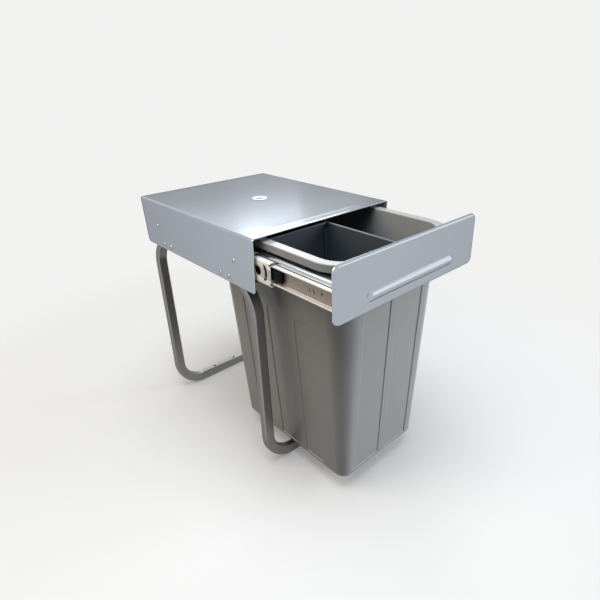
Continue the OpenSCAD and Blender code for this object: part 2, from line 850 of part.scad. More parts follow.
// Ribs under the rim, which stand on the carrier's flange
module rim_ribs() {
  reach = wall_r(carrier_z) - bin_wall / 2;
  rib = [rim_r - rim_t / 2 - reach, rib_t, rim_z - rim_t / 2 - carrier_z];
  translate([0, bin_y, carrier_z])
    for (turn = [0, 180]) {
      rotate([0, 0, turn]) for (n = [-1, 0, 1])
        translate([corner_x + reach, n * side_rib_pitch - rib_t / 2, 0]) cube(rib);
      rotate([0, 0, turn + 90]) for (y = sides)
        translate([corner_y + reach, (y * end_rib_pitch - rib_t) / 2, 0]) cube(rib);
    }
}

// Slice of the bin's inside along its walls, from which the guides are cut
module guide_slice() {
  difference() {
    bin_form(bin_wall / 2, divider_z0 - overlap, guide_z1);
    bin_form(bin_wall + guide_d, divider_z0 - 2 * overlap, guide_z1 + overlap);
  }
}

// Pairs of ribs on the end walls and on the left wall, with the dividers between them
module divider_guides() {
  intersection() {
    guide_slice();
    for (n = sides) {
      translate([divider_x + n * guide_off - rib_t / 2, bin_y - bin_d / 2, bin_z])
        cube([rib_t, bin_d, rim_z]);
      translate([-rim_x, cross_y + n * guide_off - rib_t / 2, bin_z])
        cube([rim_x / 2, rib_t, rim_z]);
    }
  }
}

module bin() {
  color(bin_grey) {
    difference() {
      union() {
        bin_form(0, bin_z, rim_z);
        rim_ring(0, rim_z - rim_t, rim_z);
        difference() {
          rim_ring(0, lip_z, rim_z - rim_t / 2);
          rim_ring(rim_t, lip_z - overlap, rim_z);
        }
        rim_ribs();
      }
      for (turn = [0, 180]) {
        flutes(turn, corner_x, side_flute_w, side_flute_h, side_flute_pitch, -1, 1);
        flutes(turn + 90, corner_y, end_flute_w, end_flute_h, end_flute_pitch, -0.5, 0.5);
      }
      bin_form(bin_wall, bin_z + bin_floor, rim_z + overlap);
    }
    divider_guides();
  }
}

// Half the inside of the bin at a height, less a divider's gap, from the corner's middle
function divider_reach(z) = wall_r(z) - bin_wall - divider_gap;

// The long divider stands between the end walls and carries the guides of the cross divider
module long_divider() {
  y0 = corner_y + divider_reach(divider_z0);
  y1 = corner_y + divider_reach(divider_z1);
  color(divider_slate) {
    translate([divider_x - divider_t / 2, bin_y, 0]) rotate([90, 0, 90]) linear_extrude(divider_t)
      polygon([[-y0, divider_z0], [y0, divider_z0], [y1, divider_z1], [-y1, divider_z1]]);
    for (n = sides)
      translate([divider_x - divider_t / 2 - guide_d, cross_y + n * guide_off - rib_t / 2, divider_z0])
        cube([guide_d + divider_t / 2, rib_t, guide_z1 - divider_z0]);
  }
}

module cross_divider() {
  x0 = corner_x + divider_reach(divider_z0);
  x1 = corner_x + divider_reach(divider_z1);
  end_x = divider_x - divider_t / 2 - divider_gap;
  color(divider_slate)
    translate([0, cross_y + divider_t / 2, 0]) rotate([90, 0, 0]) linear_extrude(divider_t)
      polygon([[-x0, divider_z0], [end_x, divider_z0], [end_x, divider_z1], [-x1, divider_z1]]);
}

housing_shell();
top_badge();
front_leg();
rear_leg();
leg_rivets(-1);  // leg_rivets_left
leg_rivets(1);  // leg_rivets_right
rail_rivets(-1);  // rail_rivets_left
rail_rivets(1);  // rail_rivets_right
slide_outer(-1);  // slide_outer_left
slide_outer(1);  // slide_outer_right
rail_bumper(-1);  // rail_bumper_left
rail_bumper(1);  // rail_bumper_right
ball_cage_outer(-1);  // ball_cage_outer_left
ball_cage_outer(1);  // ball_cage_outer_right
balls_outer(-1);  // balls_outer_left
balls_outer(1);  // balls_outer_right
slide_middle(-1);  // slide_middle_left
slide_middle(1);  // slide_middle_right
ball_cage_inner(-1);  // ball_cage_inner_left
ball_cage_inner(1);  // ball_cage_inner_right
balls_inner(-1);  // balls_inner_left
balls_inner(1);  // balls_inner_right
slide_inner(-1);  // slide_inner_left
slide_inner(1);  // slide_inner_right
lever_pin(-1);  // lever_pin_left
lever_pin(1);  // lever_pin_right
release_lever(-1);  // release_lever_left
release_lever(1);  // release_lever_right
carrier_frame();
carrier_rivets(-1);  // carrier_rivets_left
carrier_rivets(1);  // carrier_rivets_right
front_panel();
panel_nuts();
bin();
long_divider();
cross_divider();
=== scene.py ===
import json
import math

import bmesh
import bpy
from mathutils import Matrix, Vector


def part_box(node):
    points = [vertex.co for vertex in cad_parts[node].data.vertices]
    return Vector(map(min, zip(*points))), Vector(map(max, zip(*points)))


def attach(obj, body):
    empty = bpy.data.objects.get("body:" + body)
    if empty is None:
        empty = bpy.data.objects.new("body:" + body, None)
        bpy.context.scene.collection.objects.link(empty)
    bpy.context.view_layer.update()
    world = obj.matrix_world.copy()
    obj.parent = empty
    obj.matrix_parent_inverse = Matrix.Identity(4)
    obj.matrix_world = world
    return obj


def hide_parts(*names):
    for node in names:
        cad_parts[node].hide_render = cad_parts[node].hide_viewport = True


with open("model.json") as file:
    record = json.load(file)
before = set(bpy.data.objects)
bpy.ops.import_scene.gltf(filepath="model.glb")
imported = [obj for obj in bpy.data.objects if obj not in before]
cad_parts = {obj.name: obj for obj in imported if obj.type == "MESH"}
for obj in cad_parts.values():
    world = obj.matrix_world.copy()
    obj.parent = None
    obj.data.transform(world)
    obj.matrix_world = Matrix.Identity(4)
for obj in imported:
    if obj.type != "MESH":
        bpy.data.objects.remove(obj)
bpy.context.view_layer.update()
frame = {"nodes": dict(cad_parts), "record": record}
nodes = frame["nodes"]
mm = 0.001
sideNames = {"left": -1, "right": 1}
print("frame loaded:", len(nodes), "nodes")


# Camera, at the photograph's viewing angle

photoCamera = {
    "place": Vector((-0.487, -0.692, 0.631)),
    "aim": Vector((0.1155, -0.0423, 0.210)),
    "roll": math.radians(-1.2),
    "lens": 28.829,
    "shift": (-0.043, -0.0118),
}


def addCamera(setup):
    back = (setup["place"] - setup["aim"]).normalized()
    right = Vector((0, 0, 1)).cross(back).normalized()
    up = back.cross(right)
    turn = Matrix((right, up, back)).transposed().to_4x4() @ Matrix.Rotation(setup["roll"], 4, "Z")
    camera = bpy.data.objects.new("photoCamera", bpy.data.cameras.new("photoCamera"))
    camera.matrix_world = Matrix.Translation(setup["place"]) @ turn
    camera.data.lens = setup["lens"]
    camera.data.shift_x, camera.data.shift_y = setup["shift"]
    camera.data.clip_start = 0.01
    bpy.context.scene.collection.objects.link(camera)
    bpy.context.scene.camera = camera


addCamera(photoCamera)
print("camera set")


# Light, floor and background

def addNode(tree, kind, inputs=None, **settings):
    # a shader node with its settings, and inputs that are values or other nodes' outputs
    node = tree.nodes.new("ShaderNode" + kind)
    for name, value in settings.items():
        setattr(node, name, value)
    for name, value in (inputs or {}).items():
        if isinstance(value, bpy.types.NodeSocket):
            tree.links.new(value, node.inputs[name])
        else:
            node.inputs[name].default_value = value
    return node


studio = {
    "backdrop": (0.885, 0.885, 0.88, 1),
    "ambient": (0.93, 0.96, 1.0, 1),
    "ambientLevel": 0.05,
    "floorColour": (0.525, 0.513, 0.507, 1),
    "floorBounce": (0.1, 0.09, 0.078, 1),   # what the floor throws back on the object
    "floorLift": 0.2,   # share of the backdrop colour near the object, which softens the shadow
    "floorNear": 0.4,   # distance from the middle where that share starts to grow
    "floorFar": 0.95,   # plain backdrop colour beyond this one
    "floorSize": 12,
    "floorDrop": 0.2 * mm,   # keeps the floor clear of the feet's undersides
}
softboxes = [
    # name, place, aim, width, height, watts, colour, whether a gloss shows it
    ("topSoftbox", (-0.3, -0.35, 2.35), (0.0, -0.15, 0.2), 1.6, 1.6, 78, (0.9, 0.965, 1.0), False),
    ("rearSoftbox", (0.74, 2.115, 1.327), (0.0, 0.0, 0.42), 1.9, 0.5, 4.0, (0.955, 0.975, 1.0), True),
    ("rimSoftbox", (1.416, 1.577, 1.45), (-0.117, -0.25, 0.412), 0.8, 0.3, 6.4, (1.0, 0.99, 0.97), True),
    ("frontSoftbox", (1.9, -2.1, 0.9), (0.05, -0.25, 0.25), 2.4, 1.6, 110, (0.89, 0.96, 1.0), False),
    ("glossSoftbox", (1.9, -2.0, 1.3), (0.05, -0.25, 0.25), 2.4, 1.6, 8, (0.89, 0.96, 1.0), True),
    ("leftSoftbox", (-1.5, 0.75, 1.7), (-0.1, -0.1, 0.25), 1.2, 1.2, 24, (1.0, 0.85, 0.68), True),
]


def addSoftbox(name, place, aim, width, height, watts, colour, shown):
    lamp = bpy.data.lights.new(name, "AREA")
    lamp.shape = "RECTANGLE"
    lamp.size, lamp.size_y = width, height
    lamp.energy = watts
    lamp.color = colour
    softbox = bpy.data.objects.new(name, lamp)
    away = (Vector(place) - Vector(aim)).normalized()
    softbox.rotation_euler = away.to_track_quat("Z", "Y").to_euler()
    softbox.location = place
    softbox.visible_camera = False
    softbox.visible_glossy = shown
    bpy.context.scene.collection.objects.link(softbox)


def paleRays(tree):
    # 1 for the rays that see the backdrop: straight, in a gloss or through something clear
    path = addNode(tree, "LightPath")
    seen = path.outputs["Is Camera Ray"]
    for name in ("Is Glossy Ray", "Is Transmission Ray"):
        seen = addNode(tree, "Math", {0: seen, 1: path.outputs[name]}, operation="MAXIMUM").outputs[0]
    return seen


def addWorld():
    world = bpy.data.worlds.new("studio")
    world.use_nodes = True
    tree = world.node_tree
    ambient = tree.nodes["Background"]
    ambient.inputs["Color"].default_value = studio["ambient"]
    ambient.inputs["Strength"].default_value = studio["ambientLevel"]
    pale = addNode(tree, "Background", {"Color": studio["backdrop"]})
    mix = addNode(tree, "MixShader", {0: paleRays(tree), 1: ambient.outputs[0], 2: pale.outputs[0]})
    tree.links.new(mix.outputs[0], tree.nodes["World Output"].inputs["Surface"])
    bpy.context.scene.world = world


def floorPaper():
    # pale paper that keeps the shadow near the object and fades into the backdrop
    material = bpy.data.materials.new("floorPaper")
    material.use_nodes = True
    tree = material.node_tree
    paper = tree.nodes["Principled BSDF"]
    seen = paleRays(tree)
    shade = addNode(tree, "Mix", {"Factor": seen, "A": studio["floorBounce"], "B": studio["floorColour"]},
                    data_type="RGBA")
    tree.links.new(shade.outputs["Result"], paper.inputs["Base Color"])
    paper.inputs["Roughness"].default_value = 0.9
    paper.inputs["Specular IOR Level"].default_value = 0.0
    glow = addNode(tree, "Emission", {"Color": studio["backdrop"]})
    place = addNode(tree, "TexCoord")
    distance = addNode(tree, "VectorMath", {0: place.outputs["Object"]}, operation="LENGTH")
    fade = addNode(tree, "MapRange", {"Value": distance.outputs["Value"], "From Min": studio["floorNear"],
                                      "From Max": studio["floorFar"], "To Min": studio["floorLift"]},
                   interpolation_type="SMOOTHSTEP")
    far = addNode(tree, "Math", {0: fade.outputs["Result"], 1: seen}, operation="MULTIPLY")
    mix = addNode(tree, "MixShader", {0: far.outputs[0], 1: paper.outputs[0], 2: glow.outputs[0]})
    tree.links.new(mix.outputs[0], tree.nodes["Material Output"].inputs["Surface"])
    return material


def addFloor():
    bm = bmesh.new()
    bmesh.ops.create_grid(bm, x_segments=1, y_segments=1, size=studio["floorSize"])
    bmesh.ops.translate(bm, verts=bm.verts, vec=(0, 0, -studio["floorDrop"]))
    mesh = bpy.data.meshes.new("floor")
    bm.to_mesh(mesh)
    bm.free()
    mesh.materials.append(floorPaper())
    floor = bpy.data.objects.new("floor", mesh)
    bpy.context.scene.collection.objects.link(floor)


addWorld()
addFloor()
for softbox in softboxes:
    addSoftbox(*softbox)
bpy.context.scene.view_settings.view_transform = "Standard"
print("studio set")


# Finishes

def newFinish(name, colour, roughness, metallic=0.0, specular=0.5, edgeShade=1.0):
    material = bpy.data.materials.new(name)
    material.use_nodes = True
    shader = material.node_tree.nodes["Principled BSDF"]
    shader.inputs["Base Color"].default_value = (*colour, 1)
    shader.inputs["Roughness"].default_value = roughness
    shader.inputs["Metallic"].default_value = metallic
    shader.inputs["Specular IOR Level"].default_value = specular
    shader.inputs["Specular Tint"].default_value = (edgeShade, edgeShade, edgeShade, 1)
    return material


def grain(material, scale, stretch=(1, 1, 1), detail=2.0):
    # noise on the object's own coordinates, stretched where the finish has a direction
    tree = material.node_tree
    place = addNode(tree, "TexCoord")
    mapping = addNode(tree, "Mapping", {"Vector": place.outputs["Object"], "Scale": stretch})
    noise = addNode(tree, "TexNoise", {"Vector": mapping.outputs["Vector"], "Scale": scale, "Detail": detail})
    return noise.outputs["Fac"]


def spread(material, value, low, high):
    # the middle part of a noise, where most of it lies, laid out from low to high
    ranged = addNode(material.node_tree, "MapRange", {"Value": value, "From Min": 0.3, "From Max": 0.7,
                                                      "To Min": low, "To Max": high})
    return ranged.outputs["Result"]


def varyColour(material, value, amount):
    # lighter and darker than the colour so far by the given share
    tree = material.node_tree
    colour = tree.nodes["Principled BSDF"].inputs["Base Color"]
    soFar = colour.links[0].from_socket if colour.is_linked else colour.default_value
    shares = spread(material, value, 1 - amount, 1 + amount)
    shade = addNode(tree, "HueSaturation", {"Color": soFar, "Value": shares})
    tree.links.new(shade.outputs["Color"], colour)


def varyRoughness(material, value, low, high):
    tree = material.node_tree
    tree.links.new(spread(material, value, low, high), tree.nodes["Principled BSDF"].inputs["Roughness"])


def raiseGrain(material, value, height, strength):
    tree = material.node_tree
    bump = addNode(tree, "Bump", {"Strength": strength, "Distance": height, "Height": value})
    tree.links.new(bump.outputs["Normal"], tree.nodes["Principled BSDF"].inputs["Normal"])


def powderCoat(name, colour, roughness):
    # satin silver powder coat: metal flakes under a fine orange peel
    material = newFinish(name, colour, roughness, metallic=0.96, specular=0.4, edgeShade=0.4)
    varyColour(material, grain(material, 2600, detail=1.0), 0.07)
    varyColour(material, grain(material, 9), 0.012)
    varyRoughness(material, grain(material, 130), roughness - 0.008, roughness + 0.012)
    raiseGrain(material, grain(material, 420), 0.01 * mm, 0.1)
    return material


def zincPlate(name, colour, roughness, metallic=0.35):
    # rolled steel strip with dull zinc, drawn along the slide
    material = newFinish(name, colour, roughness, metallic)
    lines = grain(material, 700, (1, 0.02, 1), 3.0)
    varyColour(material, lines, 0.06)
    varyColour(material, grain(material, 55), 0.05)
    varyRoughness(material, lines, roughness - 0.07, roughness + 0.1)
    raiseGrain(material, lines, 0.02 * mm, 0.2)
    return material


def mouldedPlastic(name, colour, roughness, flow=0.007, glow=0.0, specular=0.5):
    # eroded mould texture with faint upright flow marks
    material = newFinish(name, colour, roughness, specular=specular)
    shader = material.node_tree.nodes["Principled BSDF"]
    shader.inputs["Subsurface Weight"].default_value = glow
    shader.inputs["Subsurface Radius"].default_value = (1.0, 1.0, 1.0)
    shader.inputs["Subsurface Scale"].default_value = 3 * mm
    marks = grain(material, 60, (1, 1, 0.03), 3.0)
    varyColour(material, marks, flow)
    varyColour(material, grain(material, 7), 0.012)
    varyRoughness(material, marks, roughness - 0.005, roughness + 0.005)
    raiseGrain(material, grain(material, 1500), 0.02 * mm, 0.06)
    return material


def distanceBand(material, axis, middle, near, far):
    # 0 nearer than one distance from a place on an axis and 1 beyond another
    tree = material.node_tree
    parts = addNode(tree, "SeparateXYZ", {0: addNode(tree, "TexCoord").outputs["Object"]})
    away = addNode(tree, "Math", {0: parts.outputs[axis], 1: middle}, operation="SUBTRACT")
    size = addNode(tree, "Math", {0: away.outputs[0]}, operation="ABSOLUTE")
    band = addNode(tree, "MapRange", {"Value": size.outputs[0], "From Min": near, "From Max": far})
    return band.outputs["Result"]


def bandColour(material, band, colour):
    # another colour where the band is 1
    tree = material.node_tree
    base = tree.nodes["Principled BSDF"].inputs["Base Color"]
    shade = addNode(tree, "Mix", {"Factor": band, "A": base.links[0].from_socket, "B": (*colour, 1)},
                    data_type="RGBA")
    tree.links.new(shade.outputs["Result"], base)


def turnedSteel(name, colour, roughness):
    material = newFinish(name, colour, roughness, metallic=1.0)
    varyColour(material, grain(material, 300), 0.05)
    varyRoughness(material, grain(material, 900), roughness - 0.04, roughness + 0.08)
    return material


badgeRing = 8.6 * mm   # inner radius of the badge's raised ring


def twoTone(name, middle, ring, roughness):
    # enamel disc: one colour in the middle of the badge and a paler one on its ring
    material = newFinish(name, ring, roughness)
    tree = material.node_tree
    place = addNode(tree, "TexCoord")
    flat = addNode(tree, "Mapping", {"Vector": place.outputs["Object"], "Scale": (1, 1, 0)})
    distance = addNode(tree, "VectorMath", {0: flat.outputs["Vector"]}, operation="LENGTH")
    edge = addNode(tree, "MapRange", {"Value": distance.outputs["Value"], "From Min": badgeRing - 1 * mm,
                                      "From Max": badgeRing})
    shade = addNode(tree, "Mix", {"Factor": edge.outputs["Result"], "A": (*middle, 1), "B": (*ring, 1)},
                    data_type="RGBA")
    tree.links.new(shade.outputs["Result"], tree.nodes["Principled BSDF"].inputs["Base Color"])
    varyColour(material, grain(material, 400), 0.04)
    return material


finishes = {
    "painted_sheet": powderCoat("satinPowderCoat", (0.455, 0.493, 0.548), 0.18),
    "leg_paint": powderCoat("legPowderCoat", (0.28, 0.275, 0.275), 0.34),
    "rivet_steel": powderCoat("rivetCoat", (0.37, 0.39, 0.42), 0.3),
    "zinc_steel": zincPlate("zincPlate", (0.40, 0.36, 0.32), 0.36),
    "cage_strip": zincPlate("cageStrip", (0.5, 0.5, 0.47), 0.38, 0.8),
    "ball_steel": turnedSteel("ballSteel", (0.82, 0.83, 0.85), 0.1),
    "bin_plastic": mouldedPlastic("binPlastic", (0.245, 0.246, 0.244), 0.31, glow=0.2),
    # painted shade: the dividers' dark slate colour is made darker still to stand in for the shade inside the
    # bin
    "divider_plastic": mouldedPlastic("dividerPlastic", (0.03, 0.037, 0.046), 0.5),
    "black_plastic": mouldedPlastic("blackPlastic", (0.004, 0.004, 0.004), 0.6, 0.1, specular=0.12),
    "bumper_rubber": mouldedPlastic("bumperRubber", (0.02, 0.02, 0.02), 0.75, 0.1, specular=0.2),
    "badge_blank": twoTone("badgeEnamel", (0.09, 0.125, 0.185), (0.43, 0.49, 0.57), 0.25),
}
for subpart in frame["record"]["subparts"]:
    mesh = nodes[subpart["node"]].data
    mesh.materials.clear()
    mesh.materials.append(finishes[subpart["material_slot"]])
print("finishes made:", len(finishes))


# Making and placing pieces

def placePiece(name, bm, slotName, body, replaced, sharpAngle=35, finish=None):
    mesh = bpy.data.meshes.new(name)
    bm.to_mesh(mesh)
    bm.free()
    mesh.materials.append(finish or finishes[slotName])
    mesh.shade_smooth()
    mesh.set_sharp_from_angle(angle=math.radians(sharpAngle))
    piece = bpy.data.objects.new(name, mesh)
    bpy.context.scene.collection.objects.link(piece)
    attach(piece, body)
    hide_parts(*replaced)
    print("piece:", name, len(mesh.polygons), "faces")


def firstRow(bm, points, closed=True):
    row = [bm.verts.new(p) for p in points]
    for a, b in zip(row, row[1:]):
        bm.edges.new((a, b))
    if closed:
        bm.edges.new((row[-1], row[0]))
    return row


def rowEdges(bm, row, closed=True):
    pairs = list(zip(row, row[1:]))
    if closed:
        pairs.append((row[-1], row[0]))
    return [bm.edges.get(pair) for pair in pairs]


def nextRow(bm, row, points, closed=True):
    # extrudes the row's edges and sets the new row on the points
    made = bmesh.ops.extrude_edge_only(bm, edges=rowEdges(bm, row, closed))["geom"]
    fresh = {part for part in made if isinstance(part, bmesh.types.BMVert)}
    grown = []
    for vert, point in zip(row, points):
        twin = next(e.other_vert(vert) for e in vert.link_edges if e.other_vert(vert) in fresh)
        twin.co = point
        grown.append(twin)
    return grown


def addBlock(bm, low, high):
    block = bmesh.ops.create_cube(bm, size=1)["verts"]
    low, high = Vector(low), Vector(high)
    bmesh.ops.scale(bm, vec=high - low, verts=block)
    bmesh.ops.translate(bm, vec=(low + high) / 2, verts=block)
    return block


def softenEdges(bm, width, segments=2, angle=30, faces=None):
    # rounds each edge that is sharper than the angle
    chosen = set(faces) if faces else set(bm.faces)
    sharp = [e for e in bm.edges if len(e.link_faces) == 2 and e.link_faces[0] in chosen
             and e.link_faces[1] in chosen and e.calc_face_angle() > math.radians(angle)]
    bmesh.ops.bevel(bm, geom=sharp, offset=width, offset_type="OFFSET", affect="EDGES", segments=segments,
                    profile=0.5, material=-1, clamp_overlap=True)


def easeStep(value, low, high):
    share = min(1.0, max(0.0, (value - low) / (high - low)))
    return share * share * (3 - 2 * share)


# Bin

binLow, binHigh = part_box("bin")
binTub = {
    "rimRadius": 52 * mm,
    "rimOver": 12.5 * mm,     # rim beyond the wall
    "rimThick": 3 * mm,
    "rimRound": 1.2 * mm,
    "lipDrop": 11 * mm,
    "lipRound": 0.7 * mm,
    "wall": 2.5 * mm,
    "floor": 3 * mm,
    "draft": 0.058,
    "bottomRound": 5 * mm,
    "insideRound": 8 * mm,
    "fluteDeep": 1.2 * mm,
    "fluteRound": 12 * mm,
    "fluteFoot": 8 * mm,      # height of the flutes' lower ends above the bottom
    "fluteEdge": 1.3 * mm,    # width of the soft step at a flute's edge
    "fineSteps": (-2, -0.9, -0.5, -0.25, 0, 0.25, 0.5, 0.9, 1.6, 2.4, 3.3, 4.3, 5.4, 6.6, 7.8, 9, 10.5, 12),
    "cornerSteps": 16,
    "sideFlutes": {"width": 40 * mm, "pitch": 65 * mm, "drop": 113 * mm, "count": 3},
    "endFlutes": {"width": 55 * mm, "pitch": 71 * mm, "drop": 64 * mm, "count": 2},
    "ribThick": 3 * mm,
    "ribShort": 7 * mm,       # from the lip's face to the ribs' ends
    "sideRibPitch": 90 * mm,
    "endRibPitch": 90 * mm,
    "guideDeep": 6 * mm,
    "guideDrop": 12 * mm,
    "hold": 0.5 * mm,         # from a round's end to the row that keeps its shading
    "wallRows": (60 * mm, 120 * mm, 180 * mm, 230 * mm),   # above the bottom, outside
    "insideRows": (40 * mm, 150 * mm),                     # below the rim, inside
    "insideFoot": 60 * mm,    # lowest of the inside's rows, above the floor
}
rimZ = binHigh.z
binMid = (binLow + binHigh) / 2
cornerX = binHigh.x - binTub["rimRadius"]
cornerY = (binHigh.y - binLow.y) / 2 - binTub["rimRadius"]


def wallRadius(z):
    return binTub["rimRadius"] - binTub["rimOver"] - (rimZ - z) * binTub["draft"]


def fluteCentres(flutes):
    return [(n - (flutes["count"] - 1) / 2) * flutes["pitch"] for n in range(flutes["count"])]


def fineMarks(edge, inwards):
    # marks from just outside an edge to the end of the flute's round corner
    return [round(edge + inwards * n * mm, 6) for n in binTub["fineSteps"]]


def wallColumns(flutes, half):
    marks = {-half, half}
    for centre in fluteCentres(flutes):
        for edge in (-1, 1):
            marks.update(fineMarks(centre + edge * flutes["width"] / 2, -edge))
    return sorted(m for m in marks if abs(m) <= half)


def fluteSink(flutes, u, z):
    # how deep the wall is pressed in at a place: an arch with soft edges
    best = -1.0
    for centre in fluteCentres(flutes):
        across = flutes["width"] / 2 - abs(u - centre)
        below = rimZ - flutes["drop"] - z
        corner = binTub["fluteRound"]
        if across < corner and below < corner:
            inside = corner - math.hypot(corner - across, corner - below)
        else:
            inside = min(across, below)
        best = max(best, min(inside, z - binLow.z - binTub["fluteFoot"]))
    half = binTub["fluteEdge"] / 2
    return binTub["fluteDeep"] * easeStep(best, -half, half)


def binStations():
    # places round the bin: wall number, turn round the corner and distance along the wall
    stations = []
    for wall in range(4):
        half, flutes = (cornerY, binTub["sideFlutes"]) if wall % 2 == 0 else (cornerX, binTub["endFlutes"])
        stations += [(wall, 0.0, u) for u in wallColumns(flutes, half)]
        steps = binTub["cornerSteps"]
        stations += [(wall, math.pi / 2 * n / steps, half) for n in range(1, steps)]
    return stations


def binPoint(station, radius, z, fluted=False):
    wall, turn, u = station
    outwards = Vector((math.cos(wall * math.pi / 2), math.sin(wall * math.pi / 2), 0))
    along = Vector((-outwards.y, outwards.x, 0))
    reach, flutes = (cornerX, binTub["sideFlutes"]) if wall % 2 == 0 else (cornerY, binTub["endFlutes"])
    if fluted and turn == 0:
        radius -= fluteSink(flutes, u, z)
    way = outwards * math.cos(turn) + along * math.sin(turn)
    return Vector((binMid.x, binMid.y, z)) + outwards * reach + along * u + way * radius


def arcRows(radius, z, size, start, end, steps):
    # points of an arc in the wall's section, round the centre (radius, z)
    turns = [math.radians(start + (end - start) * n / steps) for n in range(steps + 1)]
    return [(radius + size * math.cos(t), z + size * math.sin(t)) for t in turns]


def binSection():
    # the wall's section from the bottom, up the outside, over the rim and down the inside
    tub = binTub
    low, floorZ = binLow.z, binLow.z + tub["floor"]
    lipZ, underZ = rimZ - tub["lipDrop"], rimZ - tub["rimThick"]
    rim, lipIn = tub["rimRadius"], tub["rimRadius"] - tub["rimThick"]
    soft, edge, hold = tub["lipRound"], tub["rimRound"], tub["hold"]
    base = low + tub["bottomRound"]
    outside = arcRows(wallRadius(base) - tub["bottomRound"], base, tub["bottomRound"], -90, 0, 6)
    heights = {low + rise for rise in tub["wallRows"]} | {underZ - soft}
    heights.update(fineMarks(low + tub["fluteFoot"], 1))
    for flutes in (tub["sideFlutes"], tub["endFlutes"]):
        heights.update(fineMarks(rimZ - flutes["drop"], -1))
    outside += [(wallRadius(z), z) for z in sorted(heights)]
    lip = [(wallRadius(underZ) + soft, underZ), (lipIn - soft, underZ), (lipIn, underZ - soft)]
    lip += arcRows(lipIn + soft, lipZ + soft, soft, 180, 270, 3)
    lip += arcRows(rim - soft, lipZ + soft, soft, 270, 360, 3)
    lip += [(rim, lipZ + soft + hold), (rim, rimZ - edge - hold)]
    lip += arcRows(rim - edge, rimZ - edge, edge, 0, 90, 5)
    inner = wallRadius(rimZ) - tub["wall"]
    lip += [(rim - edge - hold, rimZ), (inner + edge + hold, rimZ)]
    lip += arcRows(inner + edge, rimZ - edge, edge, 90, 180, 5)
    rows = [rimZ - drop for drop in tub["insideRows"]] + [floorZ + tub["insideFoot"]]
    inside = [(wallRadius(z) - tub["wall"], z) for z in rows]
    turnIn = tub["insideRound"]
    inside += arcRows(wallRadius(floorZ) - tub["wall"] - turnIn, floorZ + turnIn, turnIn, 0, -90, 6)
    return outside, lip + inside


def addRimRibs(bm):
    # short ribs under the rim, which stand on the carrier's flange
    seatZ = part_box("carrier_frame")[1].z
    reach = wallRadius(seatZ) - binTub["wall"] / 2
    half = binTub["ribThick"] / 2
    for wall in range(4):
        turn = Matrix.Rotation(wall * math.pi / 2, 4, "Z")
        edge, places = (cornerX, (-1, 0, 1)) if wall % 2 == 0 else (cornerY, (-0.5, 0.5))
        pitch = binTub["sideRibPitch"] if wall % 2 == 0 else binTub["endRibPitch"]
        for place in places:
            rib = addBlock(bm, (edge + reach, place * pitch - half, seatZ),
                           (edge + binTub["rimRadius"] - binTub["ribShort"], place * pitch + half,
                            rimZ - binTub["rimThick"] / 2))
            bmesh.ops.transform(bm, matrix=Matrix.Translation((binMid.x, binMid.y, 0)) @ turn, verts=rib)


def addGuide(bm, wall, u):
    # upright rib on the inside of a wall, which holds a divider's edge
    half = binTub["ribThick"] / 2
    low, high = binLow.z + binTub["floor"] / 2, rimZ - binTub["guideDrop"]
    rib = addBlock(bm, (0, -half, low), (1, half, high))
    for vert in rib:
        depth = -binTub["guideDeep"] if vert.co.x < 0.5 else binTub["wall"] / 2
        radius = wallRadius(vert.co.z) - binTub["wall"] + depth
        vert.co = binPoint((wall, 0.0, u + vert.co.y), radius, vert.co.z)


longLow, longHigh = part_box("long_divider")
crossLow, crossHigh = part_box("cross_divider")
dividerPlate = {
    "gap": 0.3 * mm,
    "edgeRound": 0.9 * mm,
    "highlightFrom": 1.4 * mm,   # below the top, where the painted highlight on the top edge starts
    "highlightFull": 0.5 * mm,
    # painted highlight: a paler colour along the dividers' top edge, where light falls on it
    "highlightColour": (0.1, 0.103, 0.104),
}
dividerThick = crossHigh.y - crossLow.y
guideAway = dividerThick / 2 + dividerPlate["gap"] + binTub["ribThick"] / 2
longX = longHigh.x - dividerThick / 2
crossY = (crossLow.y + crossHigh.y) / 2


def makeBin():
    bm = bmesh.new()
    stations = binStations()
    outside, overRim = binSection()
    row = firstRow(bm, [binPoint(s, *outside[0], True) for s in stations])
    bmesh.ops.edgeloop_fill(bm, edges=rowEdges(bm, row))
    for radius, z in outside[1:]:
        row = nextRow(bm, row, [binPoint(s, radius, z, True) for s in stations])
    for radius, z in overRim:
        row = nextRow(bm, row, [binPoint(s, radius, z) for s in stations])
    bmesh.ops.edgeloop_fill(bm, edges=rowEdges(bm, row))
    bmesh.ops.recalc_face_normals(bm, faces=bm.faces)
    addRimRibs(bm)
    for step in (-1, 1):
        for wall, middle in ((1, -longX), (3, longX), (2, binMid.y - crossY)):
            addGuide(bm, wall, middle + step * guideAway)
    placePiece("bin_tub", bm, "bin_plastic", "drawer", ["bin"], 50)


